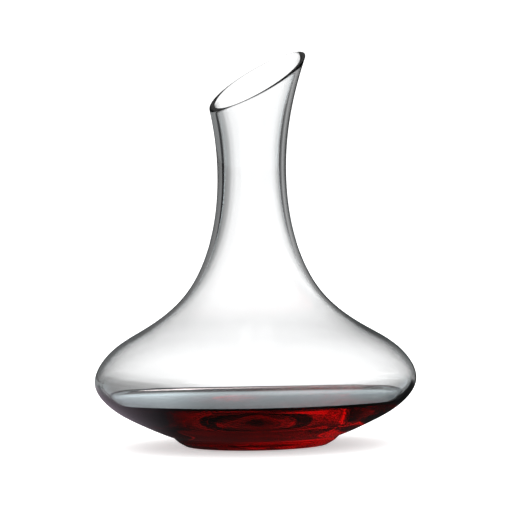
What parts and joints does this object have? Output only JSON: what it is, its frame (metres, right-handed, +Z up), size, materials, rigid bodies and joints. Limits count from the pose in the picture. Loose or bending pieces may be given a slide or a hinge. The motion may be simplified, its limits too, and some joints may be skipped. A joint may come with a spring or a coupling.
{
  "type": "wine decanter",
  "caption": "Wide-bowled clear glass wine decanter with a slim waisted neck, a slanted flared mouth and a low foot, holding red wine.",
  "frame": {"origin": "on the vessel's axis, on the plane of the ring that it stands on", "axes": "+Z up along the vessel's axis, +X towards the high side of the slanted mouth"},
  "size_m": [0.208, 0.208, 0.2541],
  "materials": {
    "clear_glass": "clear polished lead-free crystal",
    "red_wine": "clear dark red liquid"
  },
  "bodies": {
    "root": {"glass_vessel": "clear_glass", "wine": "red_wine"}
  },
  "joints": []
}
